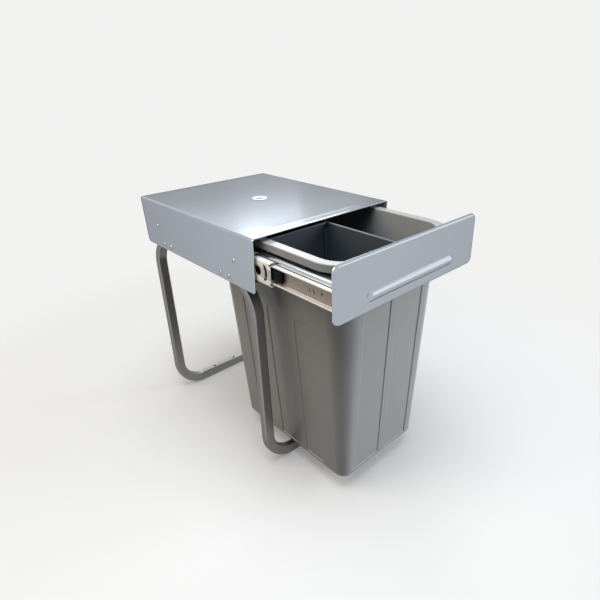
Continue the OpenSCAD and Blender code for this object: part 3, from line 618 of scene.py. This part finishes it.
def makeDividers():
    # drafted plates with rounded edges, and the long one's pair of ribs for the cross one
    plastic = finishes["divider_plastic"]
    # painted highlight: the dividers' top edge is paler, where light falls on it
    topHighlight = distanceBand(plastic, "Z", longHigh.z, dividerPlate["highlightFrom"], dividerPlate["highlightFull"])
    bandColour(plastic, topHighlight, dividerPlate["highlightColour"])
    bm = bmesh.new()
    plate = addBlock(bm, (longX - dividerThick / 2, longLow.y, longLow.z), longHigh)
    for vert in plate:
        reach = cornerY + wallRadius(vert.co.z) - binTub["wall"] - dividerPlate["gap"]
        vert.co.y = binMid.y + math.copysign(reach, vert.co.y - binMid.y)
    for step in (-1, 1):
        middle = crossY + step * guideAway
        addBlock(bm, (longLow.x, middle - binTub["ribThick"] / 2, longLow.z),
                 (longX, middle + binTub["ribThick"] / 2, rimZ - binTub["guideDrop"]))
    softenEdges(bm, dividerPlate["edgeRound"], 3)
    placePiece("divider_long", bm, "divider_plastic", "drawer", ["long_divider"], 50)
    bm = bmesh.new()
    plate = addBlock(bm, crossLow, crossHigh)
    for vert in plate:
        if vert.co.x < binMid.x - cornerX:
            vert.co.x = binMid.x - cornerX - wallRadius(vert.co.z) + binTub["wall"] + dividerPlate["gap"]
    softenEdges(bm, dividerPlate["edgeRound"], 3)
    placePiece("divider_cross", bm, "divider_plastic", "drawer", ["cross_divider"], 50)


makeBin()
makeDividers()


# Housing

housingLow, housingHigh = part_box("housing_shell")
housingSheet = {
    "thick": 1.2 * mm,
    "bend": 3 * mm,
    "bendSteps": 6,
    "cornerRound": 6 * mm,
    "taper": 5 * mm,           # lean of the side walls' front and rear edges
    "edgeRound": 0.35 * mm,
    "beadRise": 2 * mm,
    "beadShown": 0.11 * mm,    # the embossing reads softer than its full rise
    "beadWidth": 12 * mm,
    "beadLength": 168 * mm,    # between the end centres
    "beadInset": 23 * mm,
    "beadFoot": 1 * mm,        # how far the bead's soft foot spreads on each side
    "beadShape": (2.2, 1.7),   # powers that round the bead's crown and its foot
    "beadStep": 1 * mm,
    "hold": 1 * mm,            # from a bend's end to the row that keeps its shading
    "wallRows": (0, 0.15, 0.6, 1.3, 2.2, 3.3, 4.5, 5.7, 8, 30, 55),   # millimetres above the lower edge
}
topZ = housingHigh.z - housingSheet["beadRise"]
halfDeep = (housingHigh.y - housingLow.y) / 2
halfWide = housingHigh.x


def wallHalfDepth(z):
    # half the sheet's depth at a height: leaning edges and round lower corners
    edgeHigh = topZ - housingSheet["bend"] - housingLow.z
    rise = z - housingLow.z
    if rise >= edgeHigh:
        return halfDeep
    lean = math.atan(housingSheet["taper"] / edgeHigh)
    size = housingSheet["cornerRound"]
    middle = housingSheet["taper"] * (1 - size / edgeHigh) + size / math.cos(lean)
    straight = housingSheet["taper"] * (1 - rise / edgeHigh)
    if rise < size - size * math.sin(lean):
        straight = middle - math.sqrt(max(0.0, size * size - (size - rise) ** 2))
    return halfDeep - straight


def beadLift(x, y):
    # height of the embossed beads above the top face
    away = max(0.0, abs(x) - housingSheet["beadLength"] / 2)
    across = abs(y) - (halfDeep - housingSheet["beadInset"])
    share = min(1.0, math.hypot(away, across) / (housingSheet["beadWidth"] / 2 + housingSheet["beadFoot"]))
    crown, foot = housingSheet["beadShape"]
    return housingSheet["beadShown"] * (1 - share ** crown) ** foot


def housingProfile():
    # the sheet's outline from the left wall's lower edge over the top to the right wall's
    sheet = housingSheet
    bendX, bendZ = sheet["bend"] - halfWide, topZ - sheet["bend"]
    wall = [(-halfWide, housingLow.z + rise * mm) for rise in sheet["wallRows"]]
    wall.append((-halfWide, bendZ - sheet["hold"]))
    wall += arcRows(bendX, bendZ, sheet["bend"], 180, 90, sheet["bendSteps"])
    wall.append((bendX + sheet["hold"], topZ))
    ends = sheet["beadLength"] / 2
    steps = [n * sheet["beadStep"] for n in range(-1, 9)]
    inner = [(x, topZ) for x in (-ends / 2, 0, ends / 2)]
    left = [(-ends - step, topZ) for step in reversed(steps)]
    right = [(-x, z) for x, z in reversed(left)]
    return wall + left + inner + right + [(-x, z) for x, z in reversed(wall)]


def housingDepths():
    # places along the housing's depth as shares of the half depth, close together over the beads
    middle = halfDeep - housingSheet["beadInset"]
    rear = [(middle + n * housingSheet["beadStep"]) / halfDeep for n in range(-7, 8)]
    front = [-share for share in reversed(rear)]
    return [-1.0, -0.97] + front + [-0.6, -0.3, 0.0, 0.3, 0.6] + rear + [0.97, 1.0]


def makeHousing():
    bm = bmesh.new()
    profile = housingProfile()
    row = None
    for share in housingDepths():
        points = []
        for x, z in profile:
            y = share * wallHalfDepth(z)
            lift = beadLift(x, y) if z >= topZ - 1e-7 else 0.0
            points.append(Vector((x, y, z + lift)))
        row = firstRow(bm, points, False) if row is None else nextRow(bm, row, points, False)
    bmesh.ops.recalc_face_normals(bm, faces=bm.faces)
    top = max(bm.faces, key=lambda f: f.calc_center_median().z)
    if top.normal.z < 0:
        bmesh.ops.reverse_faces(bm, faces=bm.faces)
    bmesh.ops.solidify(bm, geom=bm.faces[:], thickness=housingSheet["thick"])
    softenEdges(bm, housingSheet["edgeRound"], 2, 60)
    placePiece("housing_sheet", bm, "painted_sheet", "frame", ["housing_shell"], 40)


makeHousing()


# Front panel

panelLow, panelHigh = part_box("front_panel")
panelSheet = {
    "thick": 1.2 * mm,
    "corner": 10 * mm,
    "roll": 4 * mm,
    "rollSteps": 8,
    "depth": 5 * mm,
    "gripRise": 4.5 * mm,
    "gripFoot": 7.2 * mm,     # half the grip's width with its soft foot
    "gripLength": 168 * mm,   # between the end centres
    "gripAt": 22 * mm,        # above the lower edge
    "gripShape": (2.2, 1.1),  # powers that round the grip's crown and its foot
    "gripSteps": 15,
    "hold": 1 * mm,           # from a round's end to the row that keeps its shading
    "cornerSteps": 10,
    "edgeRound": 0.3 * mm,
    "studRadius": 2 * mm,
    "studs": (-105 * mm, -45 * mm, 45 * mm, 105 * mm),
}


def roundedRing(halfX, halfZ, corner, steps, sideCuts=6):
    # points round a rectangle with arcs at its corners, the same number for every size
    ring = []
    for quarter, (sx, sz) in enumerate(((1, 1), (-1, 1), (-1, -1), (1, -1))):
        middle = Vector((sx * (halfX - corner), sz * (halfZ - corner)))
        for n in range(steps + 1):
            turn = math.pi / 2 * (quarter + n / steps)
            ring.append(middle + Vector((math.cos(turn), math.sin(turn))) * corner)
        nextX, nextZ = ((-1, 1), (-1, -1), (1, -1), (1, 1))[quarter]
        start = ring[-1]
        turn = math.pi / 2 * (quarter + 1)
        end = Vector((nextX * (halfX - corner), nextZ * (halfZ - corner)))
        end += Vector((math.cos(turn), math.sin(turn))) * corner
        ring += [start.lerp(end, n / sideCuts) for n in range(1, sideCuts)]
    return ring


def gripRing(size, steps=12, cuts=12):
    # points round the grip at a distance from its middle line
    half = panelSheet["gripLength"] / 2
    ring = []
    for side in (1, -1):
        turns = [math.pi * n / steps - math.pi / 2 for n in range(steps + 1)]
        ring += [Vector((side * (half + size * math.cos(t)), side * size * math.sin(t))) for t in turns]
        ring += [Vector((side * half * (1 - 2 * n / cuts), side * size)) for n in range(1, cuts)]
    return ring


def gripHeight(size):
    share = min(1.0, size / panelSheet["gripFoot"])
    crown, foot = panelSheet["gripShape"]
    return panelSheet["gripRise"] * (1 - share ** crown) ** foot


def makePanel():
    bm = bmesh.new()
    sheet = panelSheet
    faceY = panelLow.y + sheet["gripRise"]
    middle = (panelLow + panelHigh) / 2
    halfX, halfZ = (panelHigh.x - panelLow.x) / 2, (panelHigh.z - panelLow.z) / 2
    roll = sheet["roll"]
    rings = [(0.0, sheet["depth"])] + arcRows(roll, roll, roll, 180, 270, sheet["rollSteps"])
    rings.append((roll + sheet["hold"], 0.0))
    row = None
    for inset, back in rings:
        ring = roundedRing(halfX - inset, halfZ - inset, sheet["corner"] - inset, sheet["cornerSteps"])
        points = [Vector((middle.x + p.x, faceY + back, middle.z + p.y)) for p in ring]
        row = firstRow(bm, points) if row is None else nextRow(bm, row, points)
    gripZ = panelLow.z + sheet["gripAt"]
    gripRow, foot = None, None
    sizes = [sheet["gripFoot"] * (1 - n / sheet["gripSteps"]) for n in range(sheet["gripSteps"])]
    for size in [sheet["gripFoot"] + sheet["hold"]] + sizes:
        points = [Vector((middle.x + p.x, faceY - gripHeight(size), gripZ + p.y)) for p in gripRing(size)]
        gripRow = firstRow(bm, points) if gripRow is None else nextRow(bm, gripRow, points)
        foot = foot or gripRow
    bmesh.ops.edgeloop_fill(bm, edges=rowEdges(bm, gripRow))
    bmesh.ops.bridge_loops(bm, edges=rowEdges(bm, row) + rowEdges(bm, foot))
    bmesh.ops.recalc_face_normals(bm, faces=bm.faces)
    if min(bm.faces, key=lambda f: f.calc_center_median().y).normal.y > 0:
        bmesh.ops.reverse_faces(bm, faces=bm.faces)
    bmesh.ops.solidify(bm, geom=bm.faces[:], thickness=sheet["thick"])
    softenEdges(bm, sheet["edgeRound"], 2, 60)
    nutLow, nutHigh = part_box("panel_nuts")
    for x in sheet["studs"]:
        studLength = panelHigh.y - faceY - sheet["thick"] / 2
        stud = bmesh.ops.create_cone(bm, cap_ends=True, segments=24, radius1=sheet["studRadius"],
                                     radius2=sheet["studRadius"], depth=studLength)["verts"]
        place = Matrix.Translation((x, panelHigh.y - studLength / 2, (nutLow.z + nutHigh.z) / 2))
        bmesh.ops.transform(bm, matrix=place @ Matrix.Rotation(math.pi / 2, 4, "X"), verts=stud)
    placePiece("panel_sheet", bm, "painted_sheet", "drawer", ["front_panel"], 40)


makePanel()


# Slides

def roundedPath(corners, sizes, steps=4):
    # an open path with an arc at each inner corner
    corners = [Vector(c) for c in corners]
    path = [corners[0]]
    for before, corner, after, size in zip(corners, corners[1:], corners[2:], sizes):
        back, on = (before - corner).normalized(), (after - corner).normalized()
        half = back.angle(on) / 2
        middle = corner + (back + on).normalized() * (size / math.sin(half))
        start, end = corner + back * (size / math.tan(half)), corner + on * (size / math.tan(half))
        for n in range(steps + 1):
            path.append(middle + (start.lerp(end, n / steps) - middle).normalized() * size)
    return path + [corners[-1]]


def punchHole(bm, face, outline):
    # opens a hole in a flat face
    border = list(face.edges)
    bmesh.ops.delete(bm, geom=[face], context="FACES_ONLY")
    hole = firstRow(bm, outline)
    bmesh.ops.triangle_fill(bm, use_beauty=True, edges=border + rowEdges(bm, hole))
    return hole


def pressDown(bm, hole, push):
    # closes a hole with a flat bottom that lies deeper
    floor = nextRow(bm, hole, [vert.co + push for vert in hole])
    bmesh.ops.edgeloop_fill(bm, edges=rowEdges(bm, floor))


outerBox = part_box("slide_outer_left")
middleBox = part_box("slide_middle_left")
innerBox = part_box("slide_inner_left")
slideRail = {
    "thick": 1.2 * mm,
    "wallX": outerBox[0].x,                        # the housing wall's inner face, on the left
    "middleZ": (outerBox[0].z + outerBox[1].z) / 2,
    "lip": 2.4 * mm,                               # height of the turned-in edges, with the sheet
    "lipBend": 1.6 * mm,
    "bend": 2 * mm,
    "edgeRound": 0.25 * mm,
    "outerBack": 6 * mm,                           # the outer member's end lies behind the housing's edge
    "race": 0.5 * mm,                              # depth of the ball race pressed into a flange
    "raceMarks": (1.2 * mm, 2 * mm, 3.8 * mm, 4.6 * mm),   # from the flange's edge: the race's two slopes
    "raceBend": 0.5 * mm,
    "webBend": 1.5 * mm,
    "holeSteps": 28,
    "slotSteps": 13,
    "margin": 1 * mm,                              # sheet left round an opening of the middle member
    "plainFrom": 80 * mm,                          # behind the round hole, where its web is plain
    "plainEnd": 120 * mm,                          # length of the inner member's last plain stretch
    "roundHole": {"at": 29 * mm, "radius": 7 * mm},
    "curvedSlot": {"at": 10.5 * mm, "radius": 20 * mm, "width": 5.5 * mm, "half": 11.8 * mm},
    "notch": {"deep": 3 * mm, "low": 12.6 * mm},   # parts the end tabs from the web
    "pressed": 0.6 * mm,                           # depth of the inner member's marks
    "innerHole": {"at": 33 * mm, "radius": 3 * mm, "cell": 4.5 * mm},
    "lanceDrop": 1.2 * mm,                         # the lances lie below the slide's middle line
    "lanceMargin": 0.8 * mm,
    "lanceRound": 0.8,                             # its corners, as a share of its half width
    "lances": [{"at": 47.5 * mm, "half": 2.2 * mm, "high": 4.4 * mm, "lean": 0.4},
               {"at": 56 * mm, "half": 1.8 * mm, "high": 3.8 * mm, "lean": 0.0}],
}


def slidePoint(side, u, y, v):
    # u from the housing's wall towards the middle, v up from the slide's middle line
    return Vector((side * (abs(slideRail["wallX"]) - u), y, slideRail["middleZ"] + v))


def slideDepth(x):
    return abs(slideRail["wallX"]) - abs(x)


def drawStrip(bm, side, path, stations):
    row = None
    for y in stations:
        points = [slidePoint(side, u, y, v) for u, v in path]
        row = firstRow(bm, points, False) if row is None else nextRow(bm, row, points, False)


def webFace(bm, side, u, y, v=0.0):
    return min(bm.faces, key=lambda f: (f.calc_center_median() - slidePoint(side, u, y, v)).length)


def circleOutline(side, u, y, radius):
    turns = [2 * math.pi * n / slideRail["holeSteps"] for n in range(slideRail["holeSteps"])]
    return [slidePoint(side, u, y + radius * math.cos(t), radius * math.sin(t)) for t in turns]


def finishStrip(name, bm, side, web, outwards, body, node, finish=None):
    bmesh.ops.recalc_face_normals(bm, faces=bm.faces)
    if webFace(bm, side, *web).normal.x * outwards < 0:
        bmesh.ops.reverse_faces(bm, faces=bm.faces)
    bmesh.ops.solidify(bm, geom=bm.faces[:], thickness=slideRail["thick"])
    softenEdges(bm, slideRail["edgeRound"], 2, 55)
    bmesh.ops.recalc_face_normals(bm, faces=bm.faces)
    placePiece(name, bm, "zinc_steel", body, [node], 45, finish)


def lippedPath(low, high, half, webMarks=()):
    # outside of a channel with turned-in edges, from the lower lip round to the upper one
    lip, bend = slideRail["lip"], slideRail["bend"]
    corners = [(high, lip - half), (high, -half), (low, -half)]
    corners += [(u, -v) for u, v in reversed(corners)]
    path = roundedPath(corners, [slideRail["lipBend"], bend, bend, slideRail["lipBend"]])
    middle = len(path) // 2
    return path[:middle] + [Vector((low, v)) for v in webMarks] + path[middle:]


def makeOuter(side, label):
    bm = bmesh.new()
    low, high = outerBox
    start = low.y + slideRail["outerBack"]
    drawStrip(bm, side, lippedPath(0.0, slideDepth(high.x), (high.z - low.z) / 2), [start, 0.0, high.y])
    finishStrip("rail_outer_" + label, bm, side, (0.0, 0.0), side, "frame", "slide_outer_" + label)


def makeMiddle(side, label):
    bm = bmesh.new()
    low, high = middleBox
    u, half = slideDepth(low.x), (high.z - low.z) / 2
    hole, slot, notch = slideRail["roundHole"], slideRail["curvedSlot"], slideRail["notch"]
    holeY, slotY = low.y + hole["at"], low.y + slot["at"] + slot["radius"]
    near, far = slot["radius"] + slot["width"] / 2, slot["radius"] - slot["width"] / 2
    slotEnd = slotY - math.sqrt(far ** 2 - slot["half"] ** 2)
    slotRows = [slotY - near - slideRail["margin"], slotEnd + slideRail["margin"]]
    cell = hole["radius"] + slideRail["margin"]
    stations = [low.y, low.y + notch["deep"]] + slotRows
    stations += [holeY - cell, holeY + cell, holeY + slideRail["plainFrom"], high.y]
    drawStrip(bm, side, lippedPath(u, slideDepth(high.x), half, (-notch["low"], notch["low"])), stations)
    notchMid = (notch["low"] + half - slideRail["bend"]) / 2
    for v in (-notchMid, notchMid):
        corner = webFace(bm, side, u, low.y + notch["deep"] / 2, v)
        bmesh.ops.delete(bm, geom=[corner], context="FACES")
    ring, steps = [], slideRail["slotSteps"]
    for radius, turn in ((near, 1), (far, -1)):
        reach = turn * math.asin(slot["half"] / radius)
        turns = [reach * (2 * n / steps - 1) for n in range(steps + 1)]
        ring += [slidePoint(side, u, slotY - radius * math.cos(t), radius * math.sin(t)) for t in turns]
    punchHole(bm, webFace(bm, side, u, sum(slotRows) / 2), ring)
    punchHole(bm, webFace(bm, side, u, holeY), circleOutline(side, u, holeY, hole["radius"]))
    finishStrip("rail_middle_" + label, bm, side, (u, 0.0), side, "middle_members",
                "slide_middle_" + label, brightZinc)


def makeInner(side, label):
    bm = bmesh.new()
    low, high = innerBox
    end, u, half = slideDepth(low.x), slideDepth(high.x), (high.z - low.z) / 2
    sunk = (0.0, slideRail["race"], slideRail["race"], 0.0)
    flange = [(end + mark, deep - half) for mark, deep in zip(slideRail["raceMarks"], sunk)]
    flange = [(end, -half)] + flange + [(u, -half)]
    corners = flange + [(a, -v) for a, v in reversed(flange)]
    raceBends = [slideRail["raceBend"]] * 4
    path = roundedPath(corners, raceBends + [slideRail["webBend"]] * 2 + raceBends, 3)
    hole, lances = slideRail["innerHole"], slideRail["lances"]
    holeY = low.y + hole["at"]
    stations = [low.y, holeY - hole["cell"], holeY + hole["cell"]]
    for lance in lances:
        reach = lance["half"] + lance["lean"] * lance["high"] + slideRail["lanceMargin"]
        stations += [low.y + lance["at"] - reach, low.y + lance["at"] + reach]
    drawStrip(bm, side, path, stations + [high.y - slideRail["plainEnd"], high.y])
    push = Vector((-side * slideRail["pressed"], 0, 0))
    dimple = punchHole(bm, webFace(bm, side, u, holeY), circleOutline(side, u, holeY, hole["radius"]))
    pressDown(bm, dimple, push)
    for lance in lances:
        lanceY, corner = low.y + lance["at"], lance["half"] * slideRail["lanceRound"]
        ring = [slidePoint(side, u, lanceY + p.x + lance["lean"] * p.y, p.y - slideRail["lanceDrop"])
                for p in roundedRing(lance["half"], lance["high"], corner, 4, 2)]
        pressDown(bm, punchHole(bm, webFace(bm, side, u, lanceY), ring), push)
    finishStrip("rail_inner_" + label, bm, side, (u, high.y - slideRail["plainEnd"] / 2), -side, "drawer",
                "slide_inner_" + label, innerZinc)


slideZinc = {
    "plate": (0.56, 0.54, 0.51),             # the middle member, with a painted highlight towards its edges
    "plateHighlight": (0.86, 0.835, 0.79),
    "plateHighlightBand": (7 * mm, 9 * mm),           # from the slide's middle line
    "web": (0.33, 0.29, 0.255),              # the inner member, kept dark as a painted dark reflection, with a painted highlight on its races
    "race": (0.66, 0.635, 0.6),
    "raceHighlightBand": (11.2 * mm, 11.8 * mm),
    "mark": (0.02, 0.016, 0.013),            # painted shade: near black at the bottoms of the pressed marks
    "markShadeBand": (0.2 * mm, 0.5 * mm),        # from the web's face
}


def middleZinc():
    material = zincPlate("brightZinc", slideZinc["plate"], 0.3)
    # painted highlight: the plate is paler beyond a distance from the slide's middle line
    edges = distanceBand(material, "Z", slideRail["middleZ"], *slideZinc["plateHighlightBand"])
    bandColour(material, edges, slideZinc["plateHighlight"])
    return material


def channelZinc():
    material = zincPlate("innerZinc", slideZinc["web"], 0.36)
    # painted highlight: paler zinc on the flanges, beyond a distance from the slide's middle line
    raceHighlight = distanceBand(material, "Z", slideRail["middleZ"], *slideZinc["raceHighlightBand"])
    bandColour(material, raceHighlight, slideZinc["race"])
    webX = abs(innerBox[1].x) + slideRail["thick"]
    # painted shade: near black on the bottoms of the pressed marks, deeper than the web's face
    marks = distanceBand(material, "X", 0.0, *(webX - deep for deep in slideZinc["markShadeBand"]))
    bandColour(material, marks, slideZinc["mark"])
    return material


brightZinc = middleZinc()
innerZinc = channelZinc()
for label, side in sideNames.items():
    makeOuter(side, label)
    makeMiddle(side, label)
    makeInner(side, label)


# Carrier frame

carrierLow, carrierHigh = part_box("carrier_frame")
carrierSheet = {
    "thick": 1.5 * mm,
    "bend": 5 * mm,
    "bendSteps": 8,
    "corner": 5.5 * mm,
    "cornerSteps": 10,
    "holeGap": 1 * mm,       # between the hole and the bin's wall
    "edgeRound": 0.3 * mm,
    "flangeHold": 0.4 * mm,  # from the bend's ends to the rows that keep its shading
    "wallHold": 0.5 * mm,
    "leastCorner": 0.1 * mm,
}


def makeCarrier():
    bm = bmesh.new()
    sheet = carrierSheet
    middle = (carrierLow + carrierHigh) / 2
    halfX, halfY = (carrierHigh.x - carrierLow.x) / 2, (carrierHigh.y - carrierLow.y) / 2
    holeRadius = wallRadius(carrierHigh.z) + sheet["holeGap"]
    hole = roundedRing(cornerX + holeRadius, cornerY + holeRadius, holeRadius, sheet["cornerSteps"])
    row = firstRow(bm, [Vector((binMid.x + p.x, binMid.y + p.y, carrierHigh.z)) for p in hole])
    bend = sheet["bend"]
    rings = [(bend + sheet["flangeHold"], 0.0)] + arcRows(bend, bend, bend, 270, 180, sheet["bendSteps"])
    rings += [(0.0, bend + sheet["wallHold"]), (0.0, carrierHigh.z - carrierLow.z)]
    for inset, drop in rings:
        corner = max(sheet["leastCorner"], sheet["corner"] - inset)
        ring = roundedRing(halfX - inset, halfY - inset, corner, sheet["cornerSteps"])
        points = [Vector((middle.x + p.x, middle.y + p.y, carrierHigh.z - drop)) for p in ring]
        row = nextRow(bm, row, points)
    bmesh.ops.recalc_face_normals(bm, faces=bm.faces)
    if max(bm.faces, key=lambda f: f.calc_center_median().z).normal.z < 0:
        bmesh.ops.reverse_faces(bm, faces=bm.faces)
    bmesh.ops.solidify(bm, geom=bm.faces[:], thickness=sheet["thick"])
    softenEdges(bm, sheet["edgeRound"], 2, 60)
    placePiece("carrier_sheet", bm, "painted_sheet", "drawer", ["carrier_frame"], 40)


makeCarrier()


# Release levers

pressLever = {
    "heel": 4 * mm,          # half the arm's height
    "block": 8 * mm,         # half the thumb block's height
    "edgeRound": 0.6 * mm,
    "ribs": (3 * mm, 5.5 * mm, 8 * mm),
    "ribHalf": 5.5 * mm,
    "ribRise": 0.5 * mm,
    "ribSunk": 0.6 * mm,
    "ribThick": 1.2 * mm,
    "ribRound": 0.25 * mm,
}


def makeLever(side, label):
    bm = bmesh.new()
    lever, body = pressLever, "lever_" + label
    low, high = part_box("release_" + body)
    heel, block = lever["heel"], lever["block"]
    pinY = high.y - heel
    outline = [(low.y, -block), (pinY - heel, -block)] + arcRows(pinY, 0.0, heel, -90, 90, 10)
    outline += [(pinY - heel, block), (low.y, block)]
    near, far = sorted((slideDepth(low.x), slideDepth(high.x)))
    row = firstRow(bm, [slidePoint(side, near, y, v) for y, v in outline])
    bmesh.ops.edgeloop_fill(bm, edges=rowEdges(bm, row))
    row = nextRow(bm, row, [slidePoint(side, far, y, v) for y, v in outline])
    bmesh.ops.edgeloop_fill(bm, edges=rowEdges(bm, row))
    softenEdges(bm, lever["edgeRound"], 3, 40)
    for step in lever["ribs"]:
        ends = [slidePoint(side, u, low.y + step + s * lever["ribThick"] / 2, s * lever["ribHalf"])
                for u, s in ((near - lever["ribRise"], -1), (near + lever["ribSunk"], 1))]
        rib = addBlock(bm, [min(p) for p in zip(*ends)], [max(p) for p in zip(*ends)])
        softenEdges(bm, lever["ribRound"], 2, 40, {f for v in rib for f in v.link_faces})
    bmesh.ops.recalc_face_normals(bm, faces=bm.faces)
    placePiece(body + "_thumb", bm, "black_plastic", body, ["release_" + body], 50)


for label, side in sideNames.items():
    makeLever(side, label)


# Badge, a plain disc

badgeLow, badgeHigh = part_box("top_badge")
badgeDisc = {
    "radius": (badgeHigh.x - badgeLow.x) / 2,
    "dish": 0.35 * mm,       # how deep the middle lies below the ring
    "slope": 0.6 * mm,       # width of each step from the dish up to the ring
    "edge": 0.6 * mm,
    "edgeSteps": 5,
    "steps": 96,
}


def makeBadge():
    bm = bmesh.new()
    disc, middle = badgeDisc, (badgeLow + badgeHigh) / 2
    high, low, out = badgeHigh.z, badgeLow.z, disc["radius"]
    dish, slope, edge = disc["dish"], disc["slope"], disc["edge"]
    section = [(0.0, high - dish), (badgeRing - 2 * slope, high - dish)]
    section += [(badgeRing - slope, high - dish * 0.75), (badgeRing, high - dish * 0.2)]
    section.append((badgeRing + slope, high))
    section += arcRows(out - edge, high - edge, edge, 90, 0, disc["edgeSteps"])
    section += [(out, low), (0.0, low)]
    row = firstRow(bm, [Vector((r, 0, z)) for r, z in section], False)
    bmesh.ops.spin(bm, geom=row + rowEdges(bm, row, False), cent=(0, 0, 0), axis=(0, 0, 1), angle=2 * math.pi,
                   steps=disc["steps"], use_merge=True)
    bmesh.ops.remove_doubles(bm, verts=bm.verts, dist=0.001 * mm)
    bmesh.ops.translate(bm, vec=(middle.x, middle.y, 0), verts=bm.verts)
    bmesh.ops.recalc_face_normals(bm, faces=bm.faces)
    placePiece("badge_disc", bm, "badge_blank", "frame", ["top_badge"], 40)


makeBadge()
